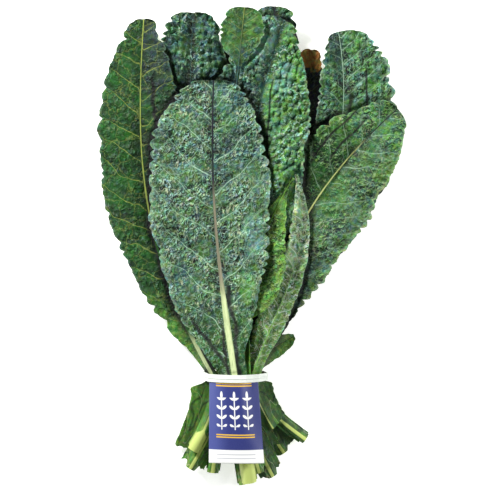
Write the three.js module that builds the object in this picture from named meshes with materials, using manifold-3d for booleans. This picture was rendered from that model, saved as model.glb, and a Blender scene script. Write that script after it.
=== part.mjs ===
// A bunch of lacinato kale lying on a table: leaves stacked one on another, gathered by a flat twist tie
// that also holds a printed tag.
//
// Millimetres, +Z up. While the parts are made, the table is z = 0, the middle of the tie is at x = 0,
// y = 0, the leaf tips point towards +Y and the cut ends of the stalks towards -Y. At the end the whole
// group is moved so that the origin is the middle of the bunch's footprint, on the table.
//
// Every leaf is a sheet of rows (along its midrib) and columns (across it). The leaves are laid down from
// the bottom one to the top one, and each is lifted where it would sink into the pile under it.
import * as THREE from "three";
import { mergeVertices } from "three/addons/utils/BufferGeometryUtils.js";
import Module from "manifold-3d";

const wasm = await Module();
wasm.setup();

// ---------- Driving dimensions ----------

const BLADE = 1.0; // thickness of a leaf blade
const LAYER_GAP = 0.5; // air left between a leaf and the pile it is laid on
const TIE_CLEARANCE = 8; // height of the lowest stalks above the table, at the tie

// The midrib and stalk: half-width and depth below the blade, at the cut end, at the tie and at the tip.
const STALK_HALF = { cut: 5.0, tie: 2.9, tip: 0.7 };
const STALK_DEPTH = { cut: 5.8, tie: 4.0, tip: 0.5 };
const STALK_TAPER = 2.3; // above 1, the midrib thins faster just above the tie
const STALK_SHOULDER = 0.22; // share of the stalk's depth that also stands up on the blade's upper face
const WING = 1.2; // least width of blade left on each side of the stalk
const FLARE = 0.2; // share of the stalk, from the tie, in which its leafy sides reach their full width

const STALK_ROWS = 5; // rows between the cut end and the tie
const BLADE_ROWS = 19; // rows between the tie and the tip
const BLADE_COLUMNS = [0.34, 0.69, 1]; // places of the outer columns, from the edge of the midrib outwards
const LIMPNESS = 0.95; // share of a lift that passes from one row or column of a leaf to the next
const TIP_CROWDING = 1.25; // above 1, rows lie closer together towards the tip
const SIDE_COLUMNS = BLADE_COLUMNS.length + 1;

const TIE = { width: 6.6, thickness: 1.0, clearance: 0.5, loopSides: 10 };
const TWIST = { length: 22, width: 4.6, turns: 1.5, rows: 12 };
const TAG = { width: 48, length: 75, thickness: 0.8, rows: 12, columns: 8 };
const TAG_TOP = { y: 2.4, x: -1.5, chord: 41.5 }; // its upper end, curved round the stalks
const TAG_FOOT = { x: 1.2, chord: 47.7 }; // its free end, nearly flat

// The leaves, from the bottom of the pile to the top.
//   cut, tie, tip   places of the cut end, of the crossing of the tie (x only) and of the tip
//   lean            heading of the midrib at the tie and at the tip, in degrees from +Y towards +X
//   half            greatest half-width of the blade, left and right
//   blade           where along the midrib the blade begins and where it is widest (tie 0, tip 1)
//   height          height of the midrib half-way along and at the tip, before the leaf is lifted
//   fold            rise of the left and right halves, in mm per mm of width
//   roll            curl of the left and right margins, in mm, up or (negative) down
//   foot            half-width of the leafy stalk near its cut end
// and, where they differ from USUAL below:
//   swell           how slowly the left and right halves widen where the blade begins
//   blunt           how blunt the left and right of the tip are: below 0.5 blunter, above 0.5 more pointed
//   waist           half-width at the tie
//   stalk           thickness of the midrib and stalk, as a share of STALK_HALF and STALK_DEPTH
//   ruffle          height of the waves along the margin
//   blister         height of the ridges and blisters between the veins
//   faceDown        true where the underside of the leaf is uppermost
const USUAL = {
  swell: [0.8, 0.8],
  blunt: [0.5, 0.5],
  waist: 0,
  stalk: 1,
  ruffle: 3.5,
  blister: 1.6,
  faceDown: false,
};
const LEAVES = [
  { name: "leaf_back_right", cut: [43, -70], tie: 17.5, tip: [84, 232], lean: [24, 24], half: [32, 32],
    blade: [0.2, 0.66], height: [-8, -4], fold: [0.1, 0.1], roll: [2, 2], foot: 17, stalk: 0.8,
    seed: 3 },
  { name: "leaf_back_left", cut: [-36, -73], tie: -19.5, tip: [-66, 240], lean: [-20, -21], half: [30, 30],
    blade: [0.2, 0.66], height: [-8, -4], fold: [0.1, 0.1], roll: [2, 2], foot: 21, stalk: 0.8,
    seed: 2 },
  { name: "leaf_back_middle", cut: [-29, -78], tie: -9.7, tip: [1, 294], lean: [0, 2], half: [36, 36],
    blade: [0.1, 0.66], height: [-6, 0], fold: [0.1, 0.1], roll: [3, 3], foot: 10, seed: 1 },
  { name: "leaf_top_dark", cut: [8, -97], tie: 0, tip: [35, 325], lean: [8, 4], half: [23, 23],
    blade: [0.3, 0.8], height: [-2, 12], fold: [0.2, 0.1], roll: [0, -6], foot: 6, blunt: [0.25, 0.25],
    seed: 6 },
  { name: "leaf_brown_tip", cut: [31, -70], tie: 9.7, tip: [67, 287], lean: [14, 3], half: [16, 13],
    blade: [0.3, 0.75], height: [-2, 8], fold: [0.5, 0.4], roll: [2, 2], foot: 11, blunt: [0.25, 0.25],
    stalk: 0.8, seed: 5 },
  { name: "leaf_top_left", cut: [-40, -82], tie: -10.5, tip: [-37, 319], lean: [-12, 4], half: [34, 37],
    blade: [0.1, 0.7], height: [-2, 14], fold: [0.15, 0.25], roll: [-5, 2], foot: 11, blunt: [0.3, 0.3],
    stalk: 0.85, ruffle: 4, blister: 3, seed: 4 },
  { name: "leaf_right_top", cut: [33, -89], tie: 9, tip: [90, 301], lean: [23, -10], half: [23, 47],
    blade: [0.2, 0.74], height: [-2, 26], fold: [0.9, 0.45], roll: [-4, -12], foot: 11, blunt: [0.42, 0.42],
    stalk: 0.85, ruffle: 5, blister: 3, seed: 7 },
  { name: "leaf_left", cut: [-37, -65], tie: -20, tip: [-81, 314], lean: [-30, 4], half: [37.5, 36],
    blade: [0, 0.64], height: [-2, 8], fold: [0.12, 0.5], roll: [-6, 4], foot: 6, swell: [0.9, 0.9],
    ruffle: 2.5, seed: 8 },
  { name: "leaf_right", cut: [62, -57], tie: 16, tip: [142, 234], lean: [10, 48], half: [40, 47],
    blade: [0, 0.62], height: [0, 12], fold: [0.35, 0.12], roll: [-5, -7], foot: 6,
    swell: [1, 0.95], stalk: 0.9, ruffle: 4, blister: 2, seed: 9 },
  { name: "leaf_blistered", cut: [-20, -85], tie: -5.5, tip: [43, 311], lean: [14, 21], half: [42, 45],
    blade: [0.1, 0.69], height: [2, 26], fold: [0.4, 0.6], roll: [-3, -14], foot: 6, ruffle: 5,
    blister: 3.5, blunt: [0.35, 0.66], seed: 11 },
  { name: "leaf_top_pale", cut: [-3, -70], tie: -1, tip: [8, 321], lean: [-6, 6], half: [18, 18],
    blade: [0.86, 0.93], height: [4, 34], fold: [-0.1, -0.1], roll: [-4, 2], foot: 6, blunt: [0.2, 0.2],
    swell: [1, 1.3], ruffle: 4, seed: 10, faceDown: true },
  { name: "leaf_small", cut: [33, -46], tie: 16.5, tip: [52, 34], lean: [10, 66], half: [8, 10],
    blade: [0, 0.62], height: [4, 8], fold: [0.5, 0.3], roll: [2, -4], foot: 15, stalk: 0.6,
    ruffle: 1.5, seed: 14 },
  { name: "leaf_underside", cut: [13, -72], tie: 13.5, tip: [53, 176], lean: [20, -14], half: [15, 11],
    blade: [0, 0.3], height: [10, 18], fold: [-0.35, -0.3], roll: [-2, -2], foot: 9, blunt: [0.8, 0.8],
    waist: 8, stalk: 0.8, ruffle: 2, seed: 13, faceDown: true },
  { name: "leaf_yellow", cut: [21, -84], tie: 5.5, tip: [50, 173], lean: [2, 30], half: [15, 26],
    blade: [0.3, 0.5], height: [10, 20], fold: [0.2, 0.1], roll: [2, -3], foot: 7, swell: [0.6, 0.35],
    blunt: [1.6, 1.6], waist: 8, stalk: 0.8, ruffle: 2, seed: 12 },
  { name: "leaf_front", cut: [12, -91], tie: 0, tip: [-19, 258], lean: [-9, 2], half: [56, 49],
    blade: [0, 0.66], height: [12, 26], fold: [0.1, 0.12], roll: [-6, -6], foot: 7,
    swell: [0.6, 0.84], waist: 11, stalk: 1.25, ruffle: 3.5, blister: 2, seed: 15, blunt: [0.42, 0.42] },
].map((leaf) => ({ ...USUAL, ...leaf }));

const COLOURS = {
  leaf: 0x4f7a52,
  underside: 0x6c8450,
  tie: 0xeef2ea,
  tag: 0x3a4796,
};

// ---------- Small helpers ----------

const mix = (a, b, k) => a + (b - a) * k;
const clamp = THREE.MathUtils.clamp;
const easeOut = (k) => Math.sin((Math.PI / 2) * k);
const radians = THREE.MathUtils.degToRad;
const heading = (degrees) => new THREE.Vector2(Math.sin(radians(degrees)), Math.cos(radians(degrees)));
const grid = (rows, columns, make) =>
  Array.from({ length: rows }, (_, i) => Array.from({ length: columns }, (_, j) => make(i, j)));

// A smooth pseudo-random wave of unit size: three sines whose phases come from the seed.
function wave(x, seed) {
  const phase = (n) => 2 * Math.PI * ((Math.sin(seed * 12.9898 + n * 78.233) * 43758.5453) % 1);
  const sines = [[0.5, 1], [0.3, 1.9], [0.2, 3.1]];
  return sines.reduce((sum, [share, pace], n) => sum + share * Math.sin(pace * x + phase(n + 1)), 0);
}

// A closed solid between an upper and a lower sheet of the same rows and columns.
function solidBetween(upper, lower) {
  const rows = upper.length, columns = upper[0].length;
  const positions = [upper, lower].flat(2).flatMap((p) => [p.x, p.y, p.z]);
  const top = (i, j) => i * columns + j;
  const bottom = (i, j) => (rows + i) * columns + j;
  const index = [];
  const quad = (a, b, c, d) => index.push(a, b, c, a, c, d);
  for (let i = 0; i < rows - 1; i++) {
    for (let j = 0; j < columns - 1; j++) {
      quad(top(i, j), top(i, j + 1), top(i + 1, j + 1), top(i + 1, j));
      // The same diagonal as above, wound the other way.
      index.push(bottom(i, j), bottom(i + 1, j + 1), bottom(i, j + 1));
      index.push(bottom(i, j), bottom(i + 1, j), bottom(i + 1, j + 1));
    }
    quad(top(i + 1, 0), bottom(i + 1, 0), bottom(i, 0), top(i, 0));
    quad(top(i, columns - 1), bottom(i, columns - 1), bottom(i + 1, columns - 1), top(i + 1, columns - 1));
  }
  for (let j = 0; j < columns - 1; j++) {
    quad(top(0, j + 1), top(0, j), bottom(0, j), bottom(0, j + 1));
    quad(top(rows - 1, j), top(rows - 1, j + 1), bottom(rows - 1, j + 1), bottom(rows - 1, j));
  }
  const geometry = new THREE.BufferGeometry();
  geometry.setAttribute("position", new THREE.Float32BufferAttribute(positions, 3));
  geometry.setIndex(index);
  geometry.computeVertexNormals();
  return geometry;
}

// ---------- The pile: how high the laid leaves stand over the table ----------

const pile = {
  cell: 0.8,
  x0: -200,
  y0: -130,
  nx: 520,
  ny: 620,
  top: null,

  // Calls visit(cell, z) for each cell whose centre is under the triangle a, b, c.
  each(a, b, c, visit) {
    const area = (b.x - a.x) * (c.y - a.y) - (c.x - a.x) * (b.y - a.y);
    if (Math.abs(area) < 1e-9) return;
    const first = (low, origin) => Math.floor((low - origin) / this.cell);
    const lastX = first(Math.max(a.x, b.x, c.x), this.x0) + 1;
    const lastY = first(Math.max(a.y, b.y, c.y), this.y0) + 1;
    for (let iy = first(Math.min(a.y, b.y, c.y), this.y0); iy <= lastY; iy++) {
      for (let ix = first(Math.min(a.x, b.x, c.x), this.x0); ix <= lastX; ix++) {
        const x = this.x0 + ix * this.cell, y = this.y0 + iy * this.cell;
        const kb = ((x - a.x) * (c.y - a.y) - (c.x - a.x) * (y - a.y)) / area;
        const kc = ((b.x - a.x) * (y - a.y) - (x - a.x) * (b.y - a.y)) / area;
        if (kb < 0 || kc < 0 || kb + kc > 1) continue;
        visit(iy * this.nx + ix, a.z + kb * (b.z - a.z) + kc * (c.z - a.z));
      }
    }
  },

  // Raises the pile to a laid sheet, and one cell past its margin.
  add(sheet) {
    this.top ??= new Float32Array(this.nx * this.ny).fill(-Infinity);
    forEachTriangle(sheet, (a, b, c) => {
      this.each(sheet[a[0]][a[1]], sheet[b[0]][b[1]], sheet[c[0]][c[1]], (cell, z) => {
        for (const dy of [-this.nx, 0, this.nx]) {
          for (const dx of [-1, 0, 1]) this.top[cell + dy + dx] = Math.max(this.top[cell + dy + dx], z);
        }
      });
    });
  },

  // How far the triangle a, b, c has to rise to clear the pile, from the cells in it and on its edges.
  shortfall(a, b, c) {
    if (!this.top) return 0;
    let most = 0;
    const check = (cell, z) => {
      most = Math.max(most, this.top[cell] + LAYER_GAP - z);
    };
    this.each(a, b, c, check);
    for (const [from, to] of [[a, b], [b, c], [c, a]]) {
      const steps = Math.ceil(from.distanceTo(to) / this.cell);
      for (let n = 0; n < steps; n++) {
        const p = from.clone().lerp(to, n / steps);
        const ix = Math.round((p.x - this.x0) / this.cell), iy = Math.round((p.y - this.y0) / this.cell);
        check(iy * this.nx + ix, p.z);
      }
    }
    return most;
  },
};

// Calls visit with the [row, column] places of the corners of each triangle, split as solidBetween does.
function forEachTriangle(sheet, visit) {
  for (let i = 0; i < sheet.length - 1; i++) {
    for (let j = 0; j < sheet[0].length - 1; j++) {
      visit([i, j], [i, j + 1], [i + 1, j + 1]);
      visit([i, j], [i + 1, j + 1], [i + 1, j]);
    }
  }
}

// Lifts a sheet clear of the pile and of the table, spreading each lift over its neighbours as a limp but
// springy leaf would. keep is how much of a lift passes from one place to the next.
function layOnPile(upper, lower, keep) {
  const rows = lower.length, columns = lower[0].length;
  let lift = grid(rows, columns, () => 0);
  forEachTriangle(lower, (a, b, c) => {
    const short = pile.shortfall(lower[a[0]][a[1]], lower[b[0]][b[1]], lower[c[0]][c[1]]);
    for (const [i, j] of [a, b, c]) lift[i][j] = Math.max(lift[i][j], short);
  });
  for (let pass = 0; pass < 60; pass++) {
    lift = grid(rows, columns, (i, j) => {
      const around = [lift[i - 1]?.[j], lift[i + 1]?.[j], lift[i][j - 1], lift[i][j + 1]];
      const known = around.filter((v) => v !== undefined);
      return Math.max(lift[i][j], (keep * known.reduce((a, b) => a + b)) / known.length);
    });
  }
  for (let i = 0; i < rows; i++) {
    for (let j = 0; j < columns; j++) {
      const rise = Math.max(lift[i][j], -lower[i][j].z);
      lower[i][j].z = Math.max(0, lower[i][j].z + rise);
      upper[i][j].z += rise;
    }
  }
  pile.add(upper);
}

// ---------- Leaves ----------

// Place and heading of the midrib at t: -1 at the cut end, 0 at the tie, 1 at the tip.
function midrib(leaf, t) {
  const tie = new THREE.Vector2(leaf.tie, 0);
  const away = heading(leaf.lean[0]);
  let curve;
  if (t < 0) {
    const cut = new THREE.Vector2(...leaf.cut);
    const bend = tie.clone().addScaledVector(away, -0.3 * cut.distanceTo(tie));
    curve = new THREE.QuadraticBezierCurve(cut, bend, tie);
  } else {
    const tip = new THREE.Vector2(...leaf.tip);
    const handle = 0.4 * tip.distanceTo(tie);
    const leave = tie.clone().addScaledVector(away, handle);
    const arrive = tip.clone().addScaledVector(heading(leaf.lean[1]), -handle);
    curve = new THREE.CubicBezierCurve(tie, leave, arrive, tip);
  }
  const k = t < 0 ? t + 1 : t;
  return { place: curve.getPoint(k), along: curve.getTangent(k) };
}

// A size of the midrib or stalk at t, from its sizes at the cut end, the tie and the tip.
function stalkSize(leaf, t, size) {
  const own = t < 0 ? mix(size.tie, size.cut, -t) : mix(size.tip, size.tie, (1 - t) ** STALK_TAPER);
  return leaf.stalk * own;
}

// Half-width of the blade on one side (0 left, 1 right) at t.
function bladeHalf(leaf, side, t) {
  const least = stalkSize(leaf, t, STALK_HALF) + WING;
  const waist = Math.max(least, leaf.waist);
  if (t < 0) return mix(waist, Math.max(least, leaf.foot), easeOut(Math.min(1, -t / FLARE)));
  const [begins, widest] = leaf.blade;
  const rise = clamp((t - begins) / (widest - begins), 0, 1);
  const fall = clamp((t - widest) / (1 - widest), 0, 1);
  const scallop = 1 + 0.05 * wave(22 * t, leaf.seed + 40 * side);
  const blade = leaf.half[side] * easeOut(rise ** leaf.swell[side]) * (1 - fall ** 2) ** leaf.blunt[side];
  return Math.max(least, waist * (1 - t) ** 2, blade * scallop);
}

// Height of the blade over the table, before its stalk's depth is added; s runs across from -1 to 1.
function bladeHeight(leaf, t, s, half) {
  const side = s < 0 ? 0 : 1;
  const a = Math.abs(s);
  if (t < 0) return TIE_CLEARANCE * (1 - (-t) ** 1.5) + 4 * a * a * -t * wave(3 * t, leaf.seed + side);
  const spine = (1 - t) ** 2 * TIE_CLEARANCE + 2 * t * (1 - t) * leaf.height[0] + t * t * leaf.height[1];
  const open = Math.sin(Math.PI * Math.min(1, t * 1.15) ** 0.7 * 0.92);
  const fold = leaf.fold[side] * a * half * open;
  const roll = leaf.roll[side] * a ** 3 * open;
  const ruffle = leaf.ruffle * a * a * wave(26 * t, leaf.seed + 20 * side + 5);
  const blister = leaf.blister * Math.min(1, half / 20) * a * wave(60 * t + 9 * s, leaf.seed + 9);
  return spine + fold + roll + ruffle + blister;
}

// The upper and lower sheets of a leaf, before it is laid down.
function leafSheets(leaf) {
  const rows = STALK_ROWS + BLADE_ROWS + 1, columns = 2 * SIDE_COLUMNS + 1;
  const upper = grid(rows, columns, () => null), lower = grid(rows, columns, () => null);
  for (let i = 0; i < rows; i++) {
    const t = i < STALK_ROWS ? i / STALK_ROWS - 1 : 1 - (1 - (i - STALK_ROWS) / BLADE_ROWS) ** TIP_CROWDING;
    const { place, along } = midrib(leaf, t);
    const rib = stalkSize(leaf, t, STALK_HALF), depth = stalkSize(leaf, t, STALK_DEPTH);
    for (let j = 0; j < columns; j++) {
      const step = j - SIDE_COLUMNS, side = step < 0 ? 0 : 1;
      const half = bladeHalf(leaf, side, t);
      const outer = Math.abs(step) < 2 ? 0 : BLADE_COLUMNS[Math.abs(step) - 2];
      const offset = Math.sign(step) * (step === 0 ? 0 : mix(rib, half, outer));
      const stem = step === 0 ? depth : 0;
      const shoulder = Math.abs(step) < 2 ? STALK_SHOULDER * depth * (1 - Math.max(0, t)) ** 2 : 0;
      const z = bladeHeight(leaf, t, offset / half, half) + BLADE + STALK_DEPTH.tie;
      const x = place.x + along.y * offset, y = place.y - along.x * offset;
      const [over, under] = leaf.faceDown ? [stem, shoulder] : [shoulder, stem];
      upper[i][j] = new THREE.Vector3(x, y, z + BLADE / 2 + over);
      lower[i][j] = new THREE.Vector3(x, y, z - BLADE / 2 - under);
    }
  }
  return { upper, lower };
}

function makeLeaf(leaf) {
  const { upper, lower } = leafSheets(leaf);
  layOnPile(upper, lower, LIMPNESS);
  const colour = leaf.faceDown ? COLOURS.underside : COLOURS.leaf;
  const material = new THREE.MeshStandardMaterial({ color: colour, roughness: 0.55, metalness: 0 });
  const mesh = new THREE.Mesh(solidBetween(upper, lower), material);
  mesh.name = leaf.name;
  return mesh;
}

// ---------- Tag ----------

// The tag is curved round the bunch under the tie and nearly flat at its free end.
function makeTag() {
  const rows = TAG.rows + 1, columns = TAG.columns + 1;
  const sheetAt = (z) =>
    grid(rows, columns, (i, j) => {
      const k = i / TAG.rows; // 0 at the free end, 1 under the tie
      const chord = mix(TAG_FOOT.chord, TAG_TOP.chord, k);
      const across = (2 * j) / TAG.columns - 1;
      const sag = 0.5 * TAG.width * Math.sqrt(Math.max(0, 1 - (chord / TAG.width) ** 2)) + 1;
      const x = mix(TAG_FOOT.x, TAG_TOP.x, k) + (across * chord) / 2;
      return new THREE.Vector3(x, TAG_TOP.y - TAG.length * (1 - k), z - sag * across * across);
    });
  const upper = sheetAt(TAG.thickness), lower = sheetAt(0);
  layOnPile(upper, lower, 1);
  const material = new THREE.MeshStandardMaterial({ color: COLOURS.tag, roughness: 0.4, metalness: 0 });
  const mesh = new THREE.Mesh(solidBetween(upper, lower), material);
  mesh.name = "tag";
  return mesh;
}

// ---------- Tie ----------

// The convex outline of points in the plane, anticlockwise.
function convexOutline(points) {
  const sorted = [...points].sort((a, b) => a.x - b.x || a.y - b.y);
  const turn = (o, a, b) => (a.x - o.x) * (b.y - o.y) - (a.y - o.y) * (b.x - o.x);
  const half = (list) => {
    const chain = [];
    for (const p of list) {
      while (chain.length > 1 && turn(chain.at(-2), chain.at(-1), p) <= 0.05) chain.pop();
      chain.push(p);
    }
    return chain.slice(0, -1);
  };
  return [...half(sorted), ...half(sorted.reverse())];
}

// The ends of the parts of a mesh's edges that lie within the width of the tie, seen along Y.
function sectionAtTie(mesh) {
  const position = mesh.geometry.getAttribute("position"), index = mesh.geometry.index.array;
  const reach = TIE.width / 2;
  const points = [];
  for (let k = 0; k < index.length; k++) {
    const next = k % 3 === 2 ? k - 2 : k + 1;
    const a = new THREE.Vector3().fromBufferAttribute(position, index[k]);
    const b = new THREE.Vector3().fromBufferAttribute(position, index[next]);
    if (Math.min(a.y, b.y) > reach || Math.max(a.y, b.y) < -reach) continue;
    for (const y of [clamp(a.y, -reach, reach), clamp(b.y, -reach, reach)]) {
      const p = a.y === b.y ? a : a.clone().lerp(b, (y - a.y) / (b.y - a.y));
      points.push(new THREE.Vector2(p.x, p.z));
    }
  }
  return points;
}

// The outline of a taut loop round the points, a given distance off them.
function loopRound(points, distance) {
  const around = Array.from({ length: TIE.loopSides }, (_, n) => (2 * Math.PI * n) / TIE.loopSides);
  const swept = points.flatMap((p) =>
    around.map((a) => new THREE.Vector2(p.x + distance * Math.cos(a), p.y + distance * Math.sin(a))),
  );
  return convexOutline(swept);
}

function asManifold(geometry) {
  const bare = new THREE.BufferGeometry();
  bare.setAttribute("position", geometry.getAttribute("position"));
  bare.setIndex(geometry.index);
  const merged = mergeVertices(bare, 1e-3);
  const vertProperties = merged.getAttribute("position").array;
  const triVerts = new Uint32Array(merged.index.array);
  return new wasm.Manifold(new wasm.Mesh({ numProp: 3, vertProperties, triVerts }));
}

function makeTie(bundle) {
  const section = bundle.flatMap(sectionAtTie);
  const inner = loopRound(section, TIE.clearance);
  const outer = loopRound(section, TIE.clearance + TIE.thickness);
  const ring = new THREE.Shape(outer);
  ring.holes.push(new THREE.Path(inner));
  const loop = new THREE.ExtrudeGeometry(ring, { depth: TIE.width, bevelEnabled: false });
  loop.translate(0, 0, -TIE.width / 2);
  loop.rotateX(Math.PI / 2);

  // The two ends, twisted together under the bunch and lying along it.
  const level = Math.min(...outer.map((p) => p.y));
  const strip = grid(TWIST.rows + 1, 2, (i, j) => {
    const turn = (i / TWIST.rows) * TWIST.turns * 2 * Math.PI;
    const across = (j - 0.5) * TWIST.width;
    const y = -i * (TWIST.length / TWIST.rows);
    const droop = 0.4 * TWIST.width * Math.min(1, -y / 8);
    const z = level + 0.3 * TIE.thickness - droop + across * Math.sin(turn);
    return { x: across * Math.cos(turn), y, z, turn };
  });
  const face = (side) =>
    strip.map((row) =>
      row.toReversed().map(({ x, y, z, turn }) => {
        const half = side * 0.5 * TIE.thickness;
        return new THREE.Vector3(x - half * Math.sin(turn), y, z + half * Math.cos(turn));
      }),
    );
  const tail = asManifold(solidBetween(face(-1), face(1)));
  const whole = asManifold(loop).add(tail).getMesh();
  const geometry = new THREE.BufferGeometry();
  geometry.setAttribute("position", new THREE.BufferAttribute(whole.vertProperties, whole.numProp));
  geometry.setIndex(new THREE.BufferAttribute(whole.triVerts, 1));
  geometry.computeVertexNormals();
  const material = new THREE.MeshStandardMaterial({ color: COLOURS.tie, roughness: 0.6, metalness: 0 });
  const mesh = new THREE.Mesh(geometry, material);
  mesh.name = "tie";
  return mesh;
}

// ---------- The bunch ----------

const bunch = new THREE.Group();
for (const leaf of LEAVES) bunch.add(makeLeaf(leaf));
bunch.add(makeTag());
bunch.add(makeTie([...bunch.children]));

const footprint = new THREE.Box3().setFromObject(bunch, true);
const middle = footprint.getCenter(new THREE.Vector3());
for (const mesh of bunch.children) mesh.geometry.translate(-middle.x, -middle.y, -footprint.min.z);

export default bunch;
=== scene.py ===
from math import atan2, cos, pi, sin

import bmesh
import bpy
import numpy as np
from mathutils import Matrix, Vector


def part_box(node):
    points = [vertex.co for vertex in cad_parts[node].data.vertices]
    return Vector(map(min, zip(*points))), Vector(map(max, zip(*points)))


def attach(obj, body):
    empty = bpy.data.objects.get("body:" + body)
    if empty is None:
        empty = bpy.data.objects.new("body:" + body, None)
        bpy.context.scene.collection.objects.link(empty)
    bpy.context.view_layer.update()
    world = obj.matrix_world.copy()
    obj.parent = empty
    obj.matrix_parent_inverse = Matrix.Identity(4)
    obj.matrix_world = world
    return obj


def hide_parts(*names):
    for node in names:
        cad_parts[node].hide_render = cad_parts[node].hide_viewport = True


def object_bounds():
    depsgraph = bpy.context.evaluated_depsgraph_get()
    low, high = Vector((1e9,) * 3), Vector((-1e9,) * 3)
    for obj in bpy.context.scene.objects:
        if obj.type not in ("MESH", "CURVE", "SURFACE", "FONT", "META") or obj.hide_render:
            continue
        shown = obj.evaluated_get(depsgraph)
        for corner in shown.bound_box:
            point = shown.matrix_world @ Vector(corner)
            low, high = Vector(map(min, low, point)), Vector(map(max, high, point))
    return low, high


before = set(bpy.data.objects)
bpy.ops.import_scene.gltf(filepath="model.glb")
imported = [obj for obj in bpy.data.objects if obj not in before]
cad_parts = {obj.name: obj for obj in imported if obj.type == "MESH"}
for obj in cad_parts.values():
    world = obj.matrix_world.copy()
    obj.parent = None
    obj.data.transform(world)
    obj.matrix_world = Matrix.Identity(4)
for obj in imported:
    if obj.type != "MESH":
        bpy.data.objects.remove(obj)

# Dresses a bunch of lacinato kale in Blender: fine leaves with their blisters, veins and midribs laid over
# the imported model's leaves, a printed card, the tie's finish, and the table, lights and camera round them.
# Metres, +Z up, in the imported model's frame.

bl_info = {
    "name": "Lacinato Kale Bunch",
    "version": (1, 0, 0),
    "blender": (4, 5, 0),
    "location": "View3D > Sidebar > Kale",
    "description": "Builds the leaves, card, tie and studio of a bunch of lacinato kale",
    "category": "Mesh",
}

CAD_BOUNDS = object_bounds()

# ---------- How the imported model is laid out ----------

STALK_ROWS = 5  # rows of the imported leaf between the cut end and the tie
LEAF_ROWS = 25
LEAF_COLUMNS = 9
MIDDLE = 4  # the column on the midrib
BLADE_SHARES = np.array([0, 0.34, 0.69, 1])  # places of a half's columns, from the midrib's edge outwards
CARD_ROWS = 13
CARD_COLUMNS = 9
TIE_WIDTH = 0.0066

# ---------- How each leaf looks ----------

# The leaves from the bottom of the pile to the top, as the imported model stacks them.
#   left, right        colours of the two halves near the tie, along the body and near the tip, by their
#                      names in CLOUDED. The right half is like the left one where it isn't given. They are
#                      partly the leaf's own tones and partly painted light and shade: darker colours such as
#                      shaded where a half tilts away from the light or lies under other leaves, brighter ones
#                      where it faces the light
#   zones              where the first colour has given way to the second, and where the third has taken
#                      over, as shares of the leaf's length
#   crest, light       colour of the crests, pale bloom with a painted highlight on the lit flank of each
#                      bump, and how much of it shows
#   dark, valley_shade how dark the painted shade is in the fine hollows and on the shaded flank of each
#                      bump, and in the valleys between the blisters
#   patch              how much yellow-green shows in patches
#   spacing, slant     distance between side veins in metres, and their slope towards the tip
#   vein, veins        colour of the side veins, and how plainly they show
#   wander             how far the side veins stray, as a share of the spacing
#   flecks             how plainly short cream flecks show
#   blister, pebble    height of the blisters and size of the fine pebbling, in metres
#   bulge              height of the blisters of about 7 mm, as a share of that height
#   rib                where along the midrib it turns grey and dark, as shares of the leaf's length
#   rib_mid, rib_top   its colours there
#   rib_low, midrib    its colour near the tie, and its width, as a share of the imported model's
#   fold_shades        painted shade along folds of the leaf: their distances right of the midrib where they
#                      start and end, their half-width (in metres), and the shares of the leaf's length where
#                      they start and end
#   shade_and_tone_patches
#                      oval patches of another tone, painted shade where the colour is gap or shaded: their
#                      distance right of the midrib, the share of the leaf's length where they lie, their
#                      half-width (half of their half-length), the colour's name and how much of it shows
#   facet_shade        how much darker the blade is just above each side vein: painted shade on the facet
#                      between two side veins
#   stem               share of the stalk's width that is pale below the tie
#   rim, lobes, lobe   how pale the margin is, and the depth (as a share of the usual) and length of its
#                      lobes
#   flap               colour of the leafy sides of the stalk below the tie
#   shade, casts       how dark the leaf is beside the leaves over it, and whether it darkens those under it
#   cell               length of the mesh's cells, in metres
#   wilt, underside    whether the tip has withered, and whether the pale underside is uppermost
USUAL = dict(
    left="shaded shaded shaded", right="", zones=(0.3, 0.7), crest="light", light=0.6,
    dark=0.85, valley_shade=0.5, patch=0.25, spacing=0.016, slant=0.7, vein="vein", veins=0.4, wander=0.9,
    flecks=0.1, blister=0.002, bulge=0.5, pebble=0.0042, rib=(0.35, 0.7), rib_low="rib_pale",
    rib_mid="rib_grey", rib_top="rib_purple", midrib=0.9, fold_shades=(), shade_and_tone_patches=(), facet_shade=0.2, stem=0.35,
    rim=0.35, lobes=1.0, lobe=0.01, flap="flap", shade=1.0, casts=True, cell=0.0026, wilt=False,
    underside=False,
)
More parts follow.
